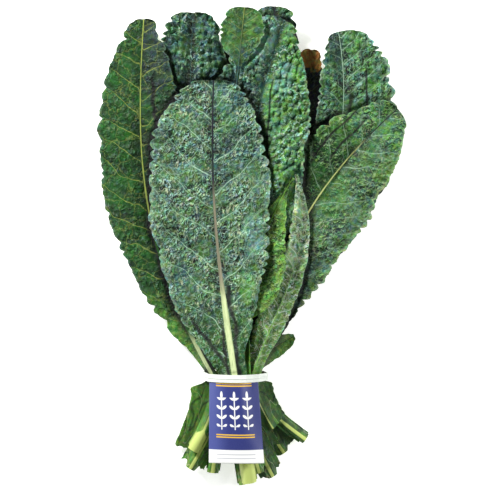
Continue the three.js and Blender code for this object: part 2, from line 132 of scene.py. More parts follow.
LEAVES = {
    "leaf_back_right": dict(flap="dusk"),
    "leaf_back_left": dict(),
    "leaf_back_middle": dict(left="shaded shaded blue", stem=1.2),
    "leaf_top_dark": dict(
        left="blue blue blue", right="shaded shaded blue", light=0.7, dark=0.6, valley_shade=0.9, spacing=0.012,
        blister=0.004, bulge=1.0, lobes=1.4, cell=0.0014,
    ),
    "leaf_brown_tip": dict(
        left="gloom gloom gloom", crest="blue", light=1.0, blister=0.004,
        bulge=1.0, lobes=1.6, lobe=0.007, flap="dusk", shade=0.45, cell=0.0014, wilt=True,
    ),
    "leaf_top_left": dict(
        left="shaded blue blue", light=0.8, dark=0.6, valley_shade=0.95, spacing=0.012,
        veins=0.1, blister=0.0045, bulge=1.0, pebble=0.006, rib_mid="blue", rib_top="blue", midrib=0.3,
        lobes=1.4, shade=0.85, cell=0.0014,
    ),
    "leaf_right_top": dict(
        left="fresh fresh blue", right="shaded fresh fresh", zones=(0.72, 0.9), light=0.65, dark=1.0,
        spacing=0.013, vein="vein_pale", veins=0.5, blister=0.003, bulge=0.8, rib_mid="vein_pale",
        rib_top="vein_pale", midrib=0.5, facet_shade=0.35, rim=0.6, lobes=1.6, lobe=0.013, flap="dusk",
        cell=0.0012,
        fold_shades=((0.0045, 0.006, 0.005, 0.5, 0.84), (0.026, 0.02, 0.0012, 0.6, 0.9)),
        shade_and_tone_patches=((-0.006, 0.97, 0.01, "shaded", 0.55),),
    ),
    "leaf_left": dict(
        left="lime smooth smooth", right="smooth smooth shaded", zones=(0.25, 0.8), light=0.15, dark=0.55,
        patch=0, spacing=0.021, slant=0.55, veins=0.7, blister=0.0015, pebble=0.005, rib=(0.12, 0.42),
        rib_mid="smooth", rib_top="vein", facet_shade=0.55, stem=1.2, rim=0.15, lobes=1.2, lobe=0.018,
        cell=0.0013,
        fold_shades=((0.013, 0.013, 0.003, 0.55, 0.85),),
        shade_and_tone_patches=((0.002, 0.7, 0.012, "gap", 0.35), (-0.02, 0.22, 0.009, "lime", 0.35)),
    ),
    "leaf_right": dict(
        left="shaded smooth fresh", right="bloom bloom fresh", zones=(0.52, 0.86), crest="light_green",
        light=0.7, patch=0.35, spacing=0.02, vein="vein_pale", veins=0.5, flecks=0.3, blister=0.0025,
        rib=(0.3, 0.8), rib_mid="vein_bright", rib_top="deep", midrib=1.1, rim=0.6, lobes=1.2, lobe=0.015,
        flap="dusk", cell=0.0012,
        fold_shades=((-0.012, -0.012, 0.0013, 0.72, 0.9), (-0.024, -0.024, 0.0012, 0.7, 0.92)),
        shade_and_tone_patches=((0.02, 0.42, 0.011, "gap", 0.55), (-0.03, 0.66, 0.012, "gap", 0.3),
                 (0.03, 0.84, 0.008, "yellow", 0.4), (0.012, 0.66, 0.016, "fresh", 0.35)),
    ),
    "leaf_blistered": dict(
        left="shaded blue frost", right="shaded lively lively", zones=(0.35, 0.86), light=1.25, dark=0.7,
        valley_shade=0.8, patch=0.35, spacing=0.012, veins=0.15, blister=0.005, bulge=1.0, pebble=0.005,
        rib_mid="shaded", rib_top="blue", midrib=0.5, lobes=1.2, shade=0.8, cell=0.0012,
        fold_shades=((-0.002, 0.0, 0.0022, 0.35, 0.72), (0.014, 0.006, 0.0012, 0.5, 0.84)),
        shade_and_tone_patches=((-0.011, 0.77, 0.006, "gap", 0.55), (-0.008, 0.94, 0.007, "frost", 0.45),
                 (0.012, 0.62, 0.008, "lively", 0.4), (0.013, 0.84, 0.009, "frost", 0.4),
                 (0.018, 0.72, 0.006, "blue", 0.4)),
    ),
    "leaf_top_pale": dict(
        left="shaded blue green", zones=(0.2, 0.9), light=0.2, dark=0.6,
        spacing=0.009, veins=0.35, blister=0.0015, rib=(0.3, 0.92), rib_mid="blue", rib_top="vein",
        midrib=0.5, lobes=2.2, lobe=0.0085, casts=False, cell=0.0012, underside=True,
    ),
    "leaf_small": dict(
        left="yellow yellow yellow", light=0.3, dark=0.6, blister=0.0005,
        lobes=0.8, flap="dusk", shade=0.8, cell=0.0014,
    ),
    "leaf_underside": dict(
        left="sage sage ash", zones=(0.2, 0.55), crest="vein_white", light=1.6,
        dark=0.8, patch=0.1, spacing=0.01, vein="vein_white", veins=0.8, wander=1.3, flecks=0.6,
        blister=0.0012, pebble=0.0048, rib_low="sage", rib_mid="sage", rib_top="sage", midrib=0.3,
        facet_shade=0.1, lobes=0.6, flap="dusk", shade=0.35, cell=0.0014, underside=True,
    ),
    "leaf_yellow": dict(
        left="lime lime lime", crest="light_green", light=1.0, patch=0.3,
        blister=0.0015, rib_mid="lime", rib_top="lime", shade=0.6, cell=0.0014,
    ),
    "leaf_front": dict(
        left="moss bloom bloom", right="moss bloom blue", light=1.0, dark=1.0, patch=0.4, spacing=0.026,
        vein="vein_pale", veins=0.75, wander=0.7, flecks=0.6, blister=0.003, pebble=0.0038,
        rib=(0.29, 0.62), midrib=1.1, facet_shade=0.15, stem=1.2, lobes=1.5, lobe=0.013, cell=0.00105,
        fold_shades=((0.0058, 0.0058, 0.0027, -0.1, 0.32), (-0.0058, -0.006, 0.0018, -0.1, 0.18),
               (-0.007, -0.03, 0.0026, 0.02, 0.22)),
        shade_and_tone_patches=((0.017, 0.74, 0.016, "shaded", 0.4), (0.022, 0.3, 0.009, "lively", 0.5),
                 (-0.016, 0.2, 0.012, "shaded", 0.35), (-0.034, 0.36, 0.008, "blue", 0.4),
                 (0.028, 0.55, 0.007, "yellow", 0.25), (0.032, 0.47, 0.012, "frost", 0.3)),
    ),
}
LEAVES = {name: {**USUAL, **look} for name, look in LEAVES.items()}

# ---------- Small helpers ----------


def linear(code):
    """A display colour such as "4f7a52" as the linear red, green and blue that Blender's colours hold."""
    parts = [int(code[i:i + 2], 16) / 255 for i in (0, 2, 4)]
    return tuple(c / 12.92 if c <= 0.04045 else ((c + 0.055) / 1.055) ** 2.4 for c in parts)


def smoothstep(low, high, x):
    k = np.clip((x - low) / (high - low), 0, 1)
    return k * k * (3 - 2 * k)


def chance(ix, iy, seed):
    """A repeatable number from 0 to 1 for each whole-numbered cell."""
    n = np.sin(ix * 127.1 + iy * 311.7 + seed * 74.7) * 43758.5453
    return n - np.floor(n)


def cloud(x, y, seed):
    """A smooth random field from 0 to 1, with features about one unit across."""
    ix, iy = np.floor(x), np.floor(y)
    u, v = x - ix, y - iy
    u, v = u * u * (3 - 2 * u), v * v * (3 - 2 * v)
    low = chance(ix, iy, seed) * (1 - u) + chance(ix + 1, iy, seed) * u
    high = chance(ix, iy + 1, seed) * (1 - u) + chance(ix + 1, iy + 1, seed) * u
    return low * (1 - v) + high * v


def domes(x, y, seed):
    """Rounded cells about one unit across: 1 over the middle of each and 0 along its border."""
    nearest = np.full(x.shape, 9.0)
    second = nearest.copy()
    for dx in (-1, 0, 1):
        for dy in (-1, 0, 1):
            ix, iy = np.floor(x) + dx, np.floor(y) + dy
            px = ix + 0.1 + 0.8 * chance(ix, iy, seed)
            py = iy + 0.1 + 0.8 * chance(ix, iy, seed + 9)
            away = np.hypot(x - px, y - py)
            second = np.minimum(second, np.maximum(away, nearest))
            nearest = np.minimum(nearest, away)
    inside = np.clip((second - nearest) * 1.7, 0, 1)
    return 1 - (1 - inside) ** 2


def along_rows(values, at):
    """Values at fractional rows, on a smooth curve through the values at the whole rows."""
    padded = np.concatenate([2 * values[:1] - values[1:2], values, 2 * values[-1:] - values[-2:-1]])
    i = np.clip(np.floor(at).astype(int), 0, len(values) - 2)
    u = (at - i).reshape((-1,) + (1,) * (values.ndim - 1))
    a, b, c, d = padded[i], padded[i + 1], padded[i + 2], padded[i + 3]
    return b + 0.5 * u * (c - a + u * (2 * a - 5 * b + 4 * c - d + u * (3 * (b - c) + d - a)))


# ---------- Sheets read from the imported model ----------


def sheet_of(node, rows, columns):
    """The plan (rows, columns, 2) and the upper and lower heights (rows, columns) of a packed sheet: two
    faces of rows and columns, one right above the other, joined by a rim."""
    mesh = node.data
    points = np.empty(len(mesh.vertices) * 3)
    mesh.vertices.foreach_get("co", points)
    points = points.reshape(-1, 3)
    corners = np.empty(len(mesh.loops), int)
    mesh.loops.foreach_get("vertex_index", corners)
    _, first, place = np.unique(np.round(points[:, :2], 6), axis=0, return_index=True, return_inverse=True)
    place = place.ravel()
    high, low = np.full(len(first), -np.inf), np.full(len(first), np.inf)
    np.maximum.at(high, place, points[:, 2])
    np.minimum.at(low, place, points[:, 2])
    near, rim = [set() for _ in first], [set() for _ in first]
    for triangle in place[corners].reshape(-1, 3).tolist():
        ends = set(triangle)
        for p in ends:
            near[p] |= ends - {p}
            if len(ends) == 2:
                rim[p] |= ends - {p}
    plan = points[first, :2]

    # The rim, walked from one of its corners, splits into four sides. A corner has 2 or 3 neighbours.
    walk = [next(p for p, around in enumerate(near) if rim[p] and len(around) == 3)]
    while len(walk) < 2 * (rows + columns) - 4:
        walk.append(next(p for p in sorted(rim[walk[-1]]) if p not in walk))
    if len(near[walk[columns - 1]]) != 2:
        walk = walk[:1] + walk[:0:-1]
    if plan[walk[:columns], 1].mean() > plan[walk[columns + rows - 2:][:columns], 1].mean():
        half = rows + columns - 2
        walk = walk[half:] + walk[:half]
    grid = np.zeros((rows, columns), int)
    grid[0] = walk[:columns]
    grid[1:, 0] = walk[:-rows:-1]
    used = set(grid[0].tolist()) | set(grid[:, 0].tolist())
    for i in range(rows - 1):
        for j in range(columns - 1):
            found = (near[grid[i, j]] & near[grid[i + 1, j]]) - used
            if len(found) != 1:
                raise RuntimeError(f"{node.name} isn't a sheet of {rows} by {columns}: pack again")
            grid[i + 1, j + 1] = found.pop()
            used.add(int(grid[i + 1, j + 1]))
    return plan[grid], high[grid], low[grid]


def placed(name, data):
    thing = bpy.data.objects.new(name, data)
    bpy.context.scene.collection.objects.link(thing)
    return thing


def mesh_of(name, bm):
    mesh = bpy.data.meshes.new(name)
    bm.to_mesh(mesh)
    bm.free()
    return mesh


def shell(name, upper, lower, sharp_start=True):
    """A closed piece between an upper and a lower sheet of points, each (rows, columns, 3). Its first row
    can have sharp edges, where a stalk is cut."""
    rows, columns = upper.shape[:2]
    bm = bmesh.new()
    bmesh.ops.create_grid(bm, x_segments=columns - 1, y_segments=rows - 1, size=1)
    copy = bmesh.ops.duplicate(bm, geom=bm.verts[:] + bm.edges[:] + bm.faces[:])["geom"]
    under = [part for part in copy if isinstance(part, bmesh.types.BMVert)]
    bmesh.ops.translate(bm, vec=(0, 0, -1 / (rows + columns)), verts=under)
    bmesh.ops.reverse_faces(bm, faces=[part for part in copy if isinstance(part, bmesh.types.BMFace)])
    bmesh.ops.bridge_loops(bm, edges=[edge for edge in bm.edges if edge.is_boundary])
    for face in bm.faces:
        face.smooth = True
    mesh = mesh_of(name, bm)
    mesh.vertices.foreach_set("co", np.concatenate([upper, lower]).astype(np.float32).ravel())
    if sharp_start:
        ends = np.empty(len(mesh.edges) * 2, int)
        mesh.edges.foreach_get("vertices", ends)
        in_first_row = (ends % (rows * columns) < columns).reshape(-1, 2).all(axis=1)
        same_sheet = np.ptp(ends.reshape(-1, 2) // (rows * columns), axis=1) == 0
        sharp = mesh.attributes.new("sharp_edge", "BOOLEAN", "EDGE")
        sharp.data.foreach_set("value", in_first_row & same_sheet)
    mesh.update()
    return placed(name, mesh)


def note(piece, name, values):
    """Writes one vector for each point of a piece, for its material to read."""
    attribute = piece.data.attributes.new(name, "FLOAT_VECTOR", "POINT")
    attribute.data.foreach_set("vector", np.ascontiguousarray(values, dtype=np.float32).ravel())


# ---------- The pile, as a map of heights over the table ----------

MAP_CELL = 0.0012
MAP_MARGIN = 0.03
MAP_START = np.array(CAD_BOUNDS[0])[:2] - MAP_MARGIN
MAP_SHAPE = tuple(int(v) for v in
                  np.ceil((np.array(CAD_BOUNDS[1])[:2] + MAP_MARGIN - MAP_START) / MAP_CELL))
EMPTY = -1.0  # the height where nothing lies


def cells_of(points):
    return tuple(np.clip(((points[..., k] - MAP_START[k]) / MAP_CELL).astype(int), 1, MAP_SHAPE[k] - 2)
                 for k in (0, 1))


def height_map(points, widen=1):
    """The greatest height of the points in each cell, carried over to the cells round it."""
    heights = np.full(MAP_SHAPE, EMPTY)
    np.maximum.at(heights, cells_of(points), points[..., 2])
    for _ in range(widen):
        for axis in (0, 1):
            heights = np.maximum(heights, np.maximum(np.roll(heights, 1, axis), np.roll(heights, -1, axis)))
    return heights


def blurred(field, distance):
    """A map smoothed over a distance, in metres."""
    x = np.fft.fftfreq(field.shape[0])[:, None]
    y = np.fft.rfftfreq(field.shape[1])[None]
    fade = np.exp(-2 * (pi * distance / MAP_CELL) ** 2 * (x ** 2 + y ** 2))
    return np.fft.irfft2(np.fft.rfft2(field) * fade, field.shape)


# ---------- Leaves ----------

TIP_SPREAD = 2.0  # how many times more rows the tip gets
GROOVE_WIDTH = 0.0022  # of the groove beside a midrib
VEIN_BEND = 4.0  # how fast the side veins bend towards the tip on their way out
LEAST = 0.0006  # least width of a half outside its midrib, and least thickness


def rows_along(gap, cell):
    """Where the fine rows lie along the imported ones, which lie gap apart. They crowd at the rounded tip."""
    at = []
    for i, length in enumerate(gap):
        n = max(3, round(length / cell))
        k = np.arange(n) / n
        if i == len(gap) - 1:
            n = round(n * TIP_SPREAD)
            k = np.sin(pi / 2 * np.arange(n) / n)
        at.extend(i + k)
    return np.array(at + [len(gap)])


def lobed(half, rib, along, side, look, sizes, seed):
    """The width of a leaf's half with the lobes and the crumple of its margin, which are small near the tie
    and where the half is narrow."""
    room = np.clip((half - rib) / 0.012, 0, 1)
    quiet = 0.25 + 0.75 * smoothstep(0.0, 0.07, along)
    margin = 0 * along + side
    pace = along / look["lobe"] + 2.2 * cloud(along / 0.017, margin, seed + 3)
    lobes = np.sqrt(np.abs(np.sin(pi * pace))) - 0.75
    depth = np.clip(2.4 * cloud(along / 0.019, margin, seed + 6) - 0.3, 0.2, 1.7)
    crumple = cloud(along / 0.0036, margin, seed + 5) + cloud(along / 0.0019, margin, seed + 8) - 1
    half = half + quiet * room * sizes.scallop * look["lobes"] * (depth * lobes + 0.3 * crumple)
    return np.maximum(half, rib + LEAST)


def torn_ends(offset, shares, along, sizes, seed):
    """How far the leafy sides of the stalk end short of the cut end, in torn edges."""
    beside = np.clip(shares * 4, 0, 1)
    torn = sizes.torn * cloud(offset / 0.006, 0 * offset, seed + 12) * beside
    torn = torn + 0.5 * sizes.torn * cloud(offset / 0.002, 0 * offset, seed + 13) * beside
    fade = np.clip(1 - (along - along[0]) / sizes.torn_reach, 0, 1)
    return torn * fade[:, None]


def leaf_form(name, look, sizes):
    """The smooth leaf before its blisters: its plan, its upper and lower heights and its own coordinates."""
    plan, high, low = sheet_of(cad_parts[name], LEAF_ROWS, LEAF_COLUMNS)
    cell = look["cell"] * sizes.mesh_coarseness
    middle = plan[:, MIDDLE]
    across = plan[:, -1] - plan[:, 0]
    gap = np.linalg.norm(np.diff(middle, axis=0), axis=1)
    at = rows_along(gap, cell)
    last = smoothstep(0, 1e-9, at - (len(gap) - 1))
    cap = np.sqrt(np.clip(1 - (at - (len(gap) - 1)) ** 2, 0, 1))

    def width(column):
        own = np.linalg.norm(plan[:, column] - middle, axis=1)
        smooth = np.maximum(along_rows(own, at), own.min())
        return np.where(last > 0, own[-1] + (own[-2] - own[-1]) * cap, smooth)

    middle_fine = along_rows(middle, at)
    across = along_rows(across / np.linalg.norm(across, axis=1, keepdims=True), at)
    across /= np.linalg.norm(across, axis=1, keepdims=True)
    step = np.linalg.norm(np.diff(middle_fine, axis=0), axis=1)
    along = np.concatenate([[0], np.cumsum(step)])
    along -= np.interp(STALK_ROWS, at, along)
    seed = len(name) + 7 * list(LEAVES).index(name)
    rib = width(MIDDLE - 1)
    halves = [lobed(width(column), rib, along, side, look, sizes, seed)
              for side, column in ((-1, 0), (1, LEAF_COLUMNS - 1))]

    # The columns from the left margin to the right one, with the midrib between.
    widest = max(half.max() for half in halves)
    cells = max(8, round(widest / (cell * 1.02)))
    share = np.linspace(0, 1, cells + 1)
    ratio = np.array([-0.5, 0, 0.5])
    side = np.concatenate([-np.ones(cells + 1), np.sign(ratio), np.ones(cells + 1)])
    shares = np.concatenate([share[::-1], 0 * ratio, share])
    on_rib = np.concatenate([np.zeros(cells + 1, bool), np.ones(3, bool), np.zeros(cells + 1, bool)])
    half = np.where(side < 0, halves[0][:, None], halves[1][:, None])
    offset = side * (rib[:, None] + shares * (half - rib[:, None]))
    offset[:, on_rib] = ratio * rib[:, None]
    ahead = np.gradient(middle_fine, axis=0)
    ahead /= np.linalg.norm(ahead, axis=1, keepdims=True)
    torn = torn_ends(offset, shares, along, sizes, seed)
    xy = middle_fine[:, None] + across[:, None] * offset[..., None] + torn[..., None] * ahead[:, None]

    # Heights: a cubic across each half, and a rounded midrib between the halves.
    weights = np.vander(share, 4) @ np.linalg.inv(np.vander(BLADE_SHARES, 4))
    groove = sizes.groove * np.clip(rib / 0.003, 0.3, 1.5)[:, None]
    k = np.clip(along / along[-1], 0, 1)
    rise = (rib * (0.55 - 1.0 * smoothstep(*look["rib"], k)))[:, None]
    heights = []
    for own, top in ((high, True), (low, False)):
        packed = along_rows(own, at)
        left = packed[:, [3, 2, 1, 0]] @ weights.T
        right = packed[:, [5, 6, 7, 8]] @ weights.T
        if top:
            drop = [groove * np.exp(-(share * (h - rib)[:, None] / GROOVE_WIDTH) ** 2) for h in halves]
            left, right = left - drop[0], right - drop[1]
        level = left[:, :1] * (1 - ratio) / 2 + right[:, :1] * (1 + ratio) / 2
        peak = packed[:, MIDDLE, None] - packed[:, [3, 5]].mean(axis=1, keepdims=True)
        if top:
            peak = peak + (groove + np.minimum(rise, 0))
        centre = level + np.sqrt(1 - ratio ** 2) * peak
        heights.append(np.concatenate([left[:, ::-1], centre, right], axis=1))
    upper, lower = heights
    crown = np.sqrt(np.clip(1 - (offset / rib[:, None]) ** 2, 0, 1))
    return {
        "name": name, "seed": seed, "xy": xy, "upper": upper, "lower": np.minimum(lower, upper - LEAST),
        "along": along[:, None] + 0 * offset,
        "offset": offset,
        "ratio": np.abs(offset) / rib[:, None],
        "share": np.where(on_rib, 0, shares) + 0 * offset,
        "k": k[:, None] + 0 * offset,
        "side": side,
        "rib": rib[:, None],
        "crown": np.where(on_rib, crown, 0) * np.maximum(rise, 0),
    }


def leaf_relief(form, look, sizes):
    """Height of the blisters and of the curled margin over the smooth leaf, never negative."""
    along, offset, seed = form["along"], form["offset"], form["seed"]
    v = np.abs(offset)

    # Whole numbers where a side vein lies.
    count = (along - look["slant"] * v - VEIN_BEND * v ** 2) / look["spacing"]
    count = count + 0.5 * (form["side"] > 0) + 0.35 * cloud(along / 0.03, offset / 0.03, seed)

    between = np.abs(np.sin(pi * count)) ** 0.7
    puffs = domes(count, v / (look["spacing"] * 1.5), seed)
    small = domes(along / 0.007, offset / 0.006, seed + 2)
    tall = look["blister"] * sizes.blisters
    height = tall * (0.4 * between + 0.5 * puffs - 0.1) + tall * look["bulge"] * small
    beyond = (v - form["rib"]).clip(0)
    from_tie = smoothstep(0.0, 0.03, along)
    height *= smoothstep(0, 0.009, beyond) * from_tie
    curl = look["blister"] * 1.3 * form["share"] ** 5
    curl *= cloud(along / 0.006, 0 * v + form["side"], seed + 4)
    return np.clip(height + curl * from_tie, 0, None)


LIFT_ROUNDS = 10  # how often a lift is spread to its neighbours
LIFT_KEPT = 0.97  # share of it that each round passes on


def lay(form, upper, lower, pile, gap):
    """Lifts a leaf out of the pile, spreading each lift round it, and adds the leaf to the pile."""
    under = pile[cells_of(form["xy"])]
    lift = np.clip(under + gap - lower, 0, None) * (under > EMPTY)
    for _ in range(LIFT_ROUNDS):
        around = np.pad(lift, 1, mode="edge")
        spread = (around[2:, 1:-1] + around[:-2, 1:-1] + around[1:-1, 2:] + around[1:-1, :-2]) / 4
        lift = np.maximum(lift, LIFT_KEPT * spread)
    upper, lower = upper + lift, np.maximum(lower + lift, 0)
    np.maximum(pile, height_map(np.dstack([form["xy"], upper])), out=pile)
    return upper, lower


# ---------- Materials ----------


def worked(operation):
    """A method that adds the Math node for an operation on two values."""
    return lambda a, b: a.tree.maths(operation, a, b)


class Value:
    """What a node gives out. Sums and products of it add the Math nodes that work them out."""

    def __init__(self, tree, socket):
        self.tree = tree
        self.socket = socket

    __add__ = worked("ADD")
    __sub__ = worked("SUBTRACT")
    __mul__ = worked("MULTIPLY")
    __truediv__ = worked("DIVIDE")

    def __rsub__(self, other):
        return self.tree.maths("SUBTRACT", other, self)

    def __abs__(self):
        return self.tree.maths("ABSOLUTE", self)

    def ramp(self, low, high, out_low=0.0, out_high=1.0):
        """Smoothly from out_low where this is low to out_high where it is high."""
        inputs = {0: self, 1: low, 2: high, 3: out_low, 4: out_high}
        return self.tree.node("MapRange", inputs, interpolation_type="SMOOTHSTEP")


class Tree:
    """Adds nodes to a material. Each call gives back the value that its last node gives out."""

    def __init__(self, name):
        self.material = bpy.data.materials.new(name)
        self.material.use_nodes = True
        self.nodes = self.material.node_tree.nodes
        self.links = self.material.node_tree.links
        self.nodes.clear()
        self.output = self.nodes.new("ShaderNodeOutputMaterial")

    def put(self, socket, value):
        if isinstance(value, Value):
            self.links.new(value.socket, socket)
        elif isinstance(value, tuple) and len(value) == 3 and socket.type == "RGBA":
            socket.default_value = (*value, 1)
        else:
            socket.default_value = value

    def node(self, kind, inputs, output=0, **settings):
        made = self.nodes.new("ShaderNode" + kind)
        for key, value in settings.items():
            setattr(made, key, value)
        for key, value in inputs.items():
            self.put(made.inputs[key], value)
        return Value(self, made.outputs[output])

    def maths(self, operation, a, b=0.0, c=0.0):
        return self.node("Math", {0: a, 1: b, 2: c}, operation=operation)

    def greater(self, a, b):
        return self.maths("MAXIMUM", a, b)

    def blend(self, share, a, b, kind="MIX"):
        """From colour a where share is 0 to colour b where it is 1."""
        return self.node("Mix", {0: share, 6: a, 7: b}, 2, data_type="RGBA", blend_type=kind,
                         clamp_factor=True)

    def vector(self, x, y, z=0.0):
        return self.node("CombineXYZ", {0: x, 1: y, 2: z})

    def vectors(self, operation, inputs):
        return self.node("VectorMath", inputs, operation=operation)

    def parts(self, vector):
        made = self.node("SeparateXYZ", {0: vector})
        return [Value(self, socket) for socket in made.socket.node.outputs]

    def noted(self, name):
        """The three numbers of an attribute that note() wrote."""
        return self.parts(self.node("Attribute", {}, "Vector", attribute_name=name,
                                    attribute_type="GEOMETRY"))

    def whereabouts(self):
        """A point's place in its object."""
        return self.node("TexCoord", {}, "Object")

    def noise(self, vector, scale, detail=2.0, rough=0.5, output="Fac"):
        inputs = {"Vector": vector, "Scale": scale, "Detail": detail, "Roughness": rough}
        return self.node("TexNoise", inputs, output, noise_dimensions="3D")

    def cells(self, vector, scale, feature="F1"):
        return self.node("TexVoronoi", {"Vector": vector, "Scale": scale}, "Distance", feature=feature)

    def worms(self, vector, scale, width):
        """Thin winding ridges: 1 where a noise passes through its middle value, 0 a little to either side."""
        return abs(self.noise(vector, scale, 1.0) - 0.5).ramp(width, 0.0)

    def finish(self, colour, roughness, height, depth, **sockets):
        bump = self.node("Bump", {"Strength": 1.0, "Distance": depth, "Height": height})
        inputs = {"Base Color": colour, "Roughness": roughness, "Normal": bump}
        inputs.update({key.replace("_", " "): value for key, value in sockets.items()})
        self.put(self.output.inputs[0], self.node("BsdfPrincipled", inputs))
        return self.material


TINT = (2.4, 1.1, 2.8)  # how far the red, green and blue of a leaf stray from place to place
# How dark the painted shade along a fold is.
FOLD_SHADE_DARKNESS = 0.88
WILT_REACH = 0.019  # length of a withered tip
# The step points towards the light that the painted highlight and painted shade on the pebbles' flanks
# assume.
PEBBLE_ASIDE = (0.13, -0.15)  # step from one reading of the pebbling to the next, as a share of its size


class LeafSkin(Tree):
    """Blistered kale leaf: bloom with a painted highlight on the bumps, painted shade in the valleys and
    hollows, pale veins and a midrib that darkens upwards.

    It reads the leaf's own coordinates: metres along the midrib from the tie and off it, the distance off it
    as a share of the midrib's half-width, the share of the way to the margin, and the share of the leaf's
    length. The find methods work out what several others need. The others each paint over self.colour."""

    def __init__(self, name, look, colours, sizes, length):
        super().__init__(name + "_skin")
        self.look, self.colours, self.sizes, self.length = look, colours, sizes, length
        self.along, self.offset, self.ratio = self.noted("leaf_place")
        self.shade, self.relief, self.under = self.noted("leaf_state")
        self.share, self.place = self.noted("leaf_edge")[:2]
        self.seat = self.vector(self.along, self.offset)
        self.right = self.offset.ramp(-0.002, 0.002)
        self.stalk = self.along.ramp(0.006, -0.006)
        self.find_pebbles()
        self.find_veins()
        self.find_calm()

    def hue(self, key):
        return tuple(getattr(self.colours, key))

    def paint(self, share, key):
        self.colour = self.blend(share, self.colour, self.hue(key))

    def patches(self, scale, low, high, *outs, detail=2.0, rough=0.5):
        """Patches of a noise over the leaf's plane, from where it is low to where it is high."""
        return self.noise(self.seat, scale, detail, rough).ramp(low, high, *outs)

    def stretched(self, share, layer=0.0):
        """The leaf's plane shortened to a share of its length, which draws a pattern on it out lengthways."""
        return self.vector(self.along * share, self.offset, layer)

    def find_pebbles(self):
        """Fine pebbling: thin winding ridges over rounded cells. It is read twice, the second time a little
        to one side, to tell the two flanks of each bump apart: the lit flank gets a painted highlight and
        the other painted shade."""
        size = self.look["pebble"]
        bend = self.noise(self.seat, 220.0, output="Color")
        bend = self.vectors("SUBTRACT", {0: bend, 1: (0.5, 0.5, 0.5)})
        bend = self.vectors("SCALE", {0: bend, "Scale": size * 1.2})
        self.bent = self.vectors("ADD", {0: self.seat, 1: bend})

        def pebbling(vector):
            cells = self.cells(vector, 1 / size).ramp(0.65, 0.1)
            return cells * 0.5 + self.worms(vector, 0.9 / size, 0.07) * 0.5

        aside = (size * PEBBLE_ASIDE[0], size * PEBBLE_ASIDE[1], 0.0)
        self.height = pebbling(self.bent)
        self.flank_light = self.height - pebbling(self.vectors("ADD", {0: self.bent, 1: aside}))
        self.hairs = self.worms(self.bent, 1.3 / size, 0.022)

    def find_veins(self):
        """Side veins and the net between them."""
        look, away = self.look, abs(self.offset)
        self.wander = self.noise(self.seat, 36.0)
        slanted = self.along - away * look["slant"] - away * away * VEIN_BEND
        self.count = slanted / look["spacing"] + self.right * 0.5 + self.wander * look["wander"]
        width = self.share.ramp(0.0, 1.0, self.sizes.vein_width * 0.7, self.sizes.vein_width * 0.25)
        self.from_vein = self.maths("PINGPONG", self.count, 0.5) * look["spacing"] / width
        vein = self.from_vein.ramp(1.0, 0.4) * self.patches(60.0, 0.35, 0.6, 0.5, 1.0, detail=1.0)
        net = self.cells(self.bent, 0.3 / look["pebble"], "DISTANCE_TO_EDGE").ramp(0.035, 0.0)
        self.veins = self.greater(vein, net * 0.4) * self.along.ramp(0.0, 0.03, 0.2, 1.0)

    def find_calm(self):
        """How much of the pebbling shows: less on the stalk, near the tie, in patches, beside veins."""
        calm = (1.0 - self.stalk * 0.65) * self.along.ramp(0.0, 0.11, 0.5, 1.0)
        calm = calm * self.patches(42.0, 0.38, 0.52, 0.5, 1.05)
        self.calm = calm * (self.from_vein.ramp(5.0, 1.5) * (-0.6 * self.look["veins"]) + 1.0)

    def greens(self):
        """Three greens for each half of the leaf, each in two cloudy shades, with yellower patches."""
        clouds = self.patches(110.0, 0.42, 0.58, detail=3.0, rough=0.6)
        edge = self.place + self.patches(90.0, 0.3, 0.7, -0.05, 0.05, detail=3.0)
        first, last = self.look["zones"]
        halves = []
        for keys in (self.look["left"], self.look["right"] or self.look["left"]):
            low, body, tip = (self.blend(clouds, self.hue(key), self.hue(key + "_2")) for key in keys.split())
            body = self.blend(edge.ramp(first * 0.6, first), low, body)
            halves.append(self.blend(edge.ramp(last - 0.04, last + 0.04), body, tip))
        self.colour = self.blend(self.right, *halves)
        self.paint(self.patches(38.0, 0.5, 0.66, detail=3.0, rough=0.65) * self.look["patch"], "yellow")

    def stalk_sides(self):
        """The leafy sides of the stalk below the tie: plain green, creased lengthways, with dark crease lines
        of painted shade and pale lines.
        """
        upper, key = self.colour, self.look["flap"]
        grain = self.noise(self.stretched(0.15), 330.0, 3.0).ramp(0.45, 0.7)
        self.colour = self.blend(grain, self.hue(key), self.hue(key + "_2"))
        self.paint(self.worms(self.stretched(0.3), 70.0, 0.035) * 0.7, "deep")
        self.paint(self.worms(self.stretched(0.35, 5.0), 90.0, 0.014) * 0.45, "rib_pale")
        self.colour = self.blend(self.stalk, upper, self.colour)

    def bloom(self):
        """Painted shade in the fine hollows, on the shaded flank of each bump, in the valleys between the
        blisters and just above each side vein; pale bloom with a painted highlight on the lit flanks of
        the crests, and along the margin.
        """
        look = self.look
        crest = self.height + self.relief * 0.3
        lit = self.flank_light.ramp(0.02, 0.25) * crest.ramp(0.2, 0.7)
        lit = (lit * 0.75 + self.hairs * 0.55) * self.patches(65.0, 0.35, 0.65, 0.25, 1.1) * look["light"]
        rim = self.share.ramp(0.9, 1.0) * self.along.ramp(0.0, 0.08, 0.0, look["rim"])
        dark = self.greater(self.flank_light.ramp(-0.04, -0.3), crest.ramp(0.4, 0.05))
        dark = self.greater(dark * look["dark"], self.relief.ramp(0.35, 0.0) * look["valley_shade"])
        facet_shading = self.maths("FRACT", self.count).ramp(0.0, 0.55, look["facet_shade"], 0.0)
        self.paint(dark * self.calm, "deep")
        self.paint(facet_shading * self.calm, "deep")
        self.paint(self.greater(lit, rim) * self.calm, look["crest"])

